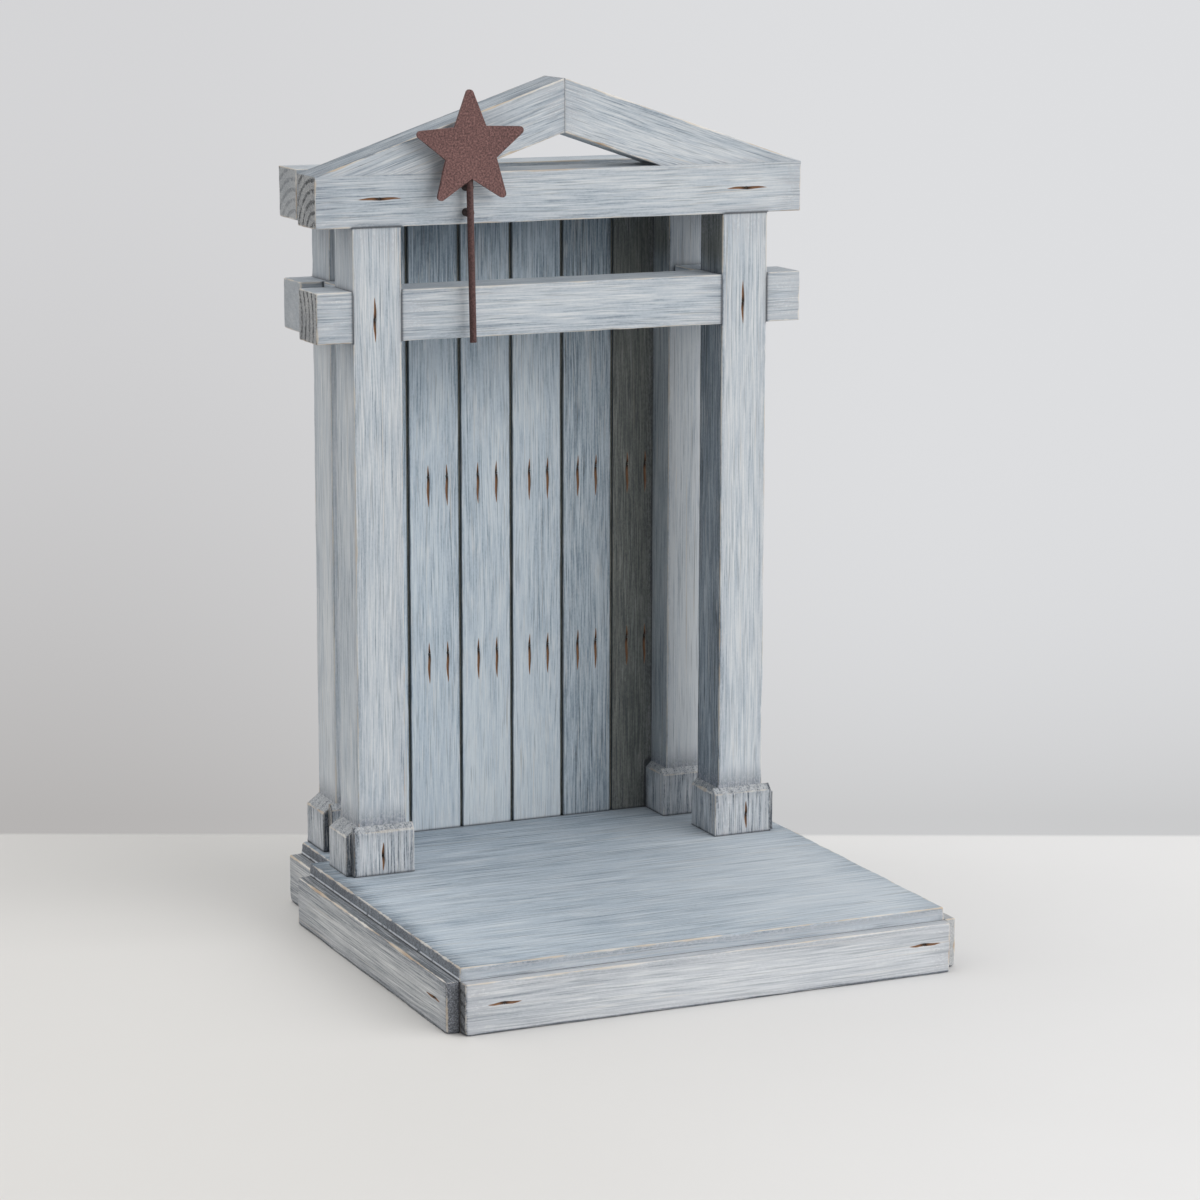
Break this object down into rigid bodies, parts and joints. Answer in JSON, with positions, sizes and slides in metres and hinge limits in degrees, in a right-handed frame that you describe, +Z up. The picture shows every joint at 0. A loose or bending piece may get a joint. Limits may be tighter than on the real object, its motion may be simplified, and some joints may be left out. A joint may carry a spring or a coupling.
{
  "type": "nativity stable",
  "caption": "Open timber stable for nativity figures: stepped base, square posts with plinths, rails and gable, boarded back and a metal star that pulls out of the beam.",
  "frame": {"origin": "on the table, under the middle of the whole outline (bottom centre of the bounding box)", "axes": "+Z up, the open front faces -Y, +X to the right seen from the front"},
  "size_m": [0.2116, 0.204, 0.3364],
  "materials": {
    "painted_timber": "blue-grey wash, brushed with white, edges worn to bare wood",
    "painted_boards": "blue-grey wash with white streaks along the grain, nail marks stained brown",
    "painted_base": "blue-grey wash, dark in the steps, edges worn pale",
    "bare_wood": "plain, unpainted",
    "nail_steel": "dark",
    "star_metal": "matt rust-brown powder coat, fine speckle"
  },
  "bodies": {
    "stable": {"deck": "painted_base", "front_skirt": "painted_base", "left_skirt": "painted_base", "right_skirt": "painted_base", "rear_left_skirt": "painted_base", "rear_right_skirt": "painted_base", "front_left_post": "painted_timber", "front_right_post": "painted_timber", "rear_left_post": "painted_timber", "rear_right_post": "painted_timber", "front_left_plinth_front": "painted_timber", "front_left_plinth_outer": "painted_timber", "front_left_plinth_inner": "painted_timber", "front_right_plinth_front": "painted_timber", "front_right_plinth_outer": "painted_timber", "front_right_plinth_inner": "painted_timber", "rear_left_plinth_front": "painted_timber", "rear_left_plinth_outer": "painted_timber", "rear_left_plinth_inner": "painted_timber", "rear_right_plinth_front": "painted_timber", "rear_right_plinth_outer": "painted_timber", "rear_right_plinth_inner": "painted_timber", "front_beam": "painted_timber", "rear_beam": "painted_timber", "left_beam_spacer": "painted_timber", "right_beam_spacer": "painted_timber", "left_rafter": "painted_timber", "right_rafter": "painted_timber", "front_rail": "painted_timber", "front_left_rail_end": "painted_timber", "front_right_rail_end": "painted_timber", "rear_left_rail_end": "painted_timber", "rear_right_rail_end": "painted_timber", "left_side_rail": "painted_timber", "right_side_rail": "painted_timber", "back_board_1": "painted_boards", "back_board_2": "painted_boards", "back_board_3": "painted_boards", "back_board_4": "painted_boards", "back_board_5": "painted_boards", "back_board_6": "painted_boards", "lower_batten": "painted_base", "upper_batten": "painted_base", "post_foot_dowels": "bare_wood", "post_top_dowels": "bare_wood", "rafter_dowels": "bare_wood", "rail_dowels": "bare_wood", "panel_nails": "nail_steel", "frame_nails": "nail_steel", "batten_nails": "nail_steel", "plinth_nails": "nail_steel", "skirt_nails": "nail_steel"},
    "star": {"star_plate": "star_metal", "star_rod": "star_metal", "star_pegs": "star_metal"}
  },
  "joints": [
    {"name": "star_pull", "type": "slide", "parent": "stable", "child": "star", "axis": [0, -1, 0], "range_m": [0, 0.008]}
  ]
}
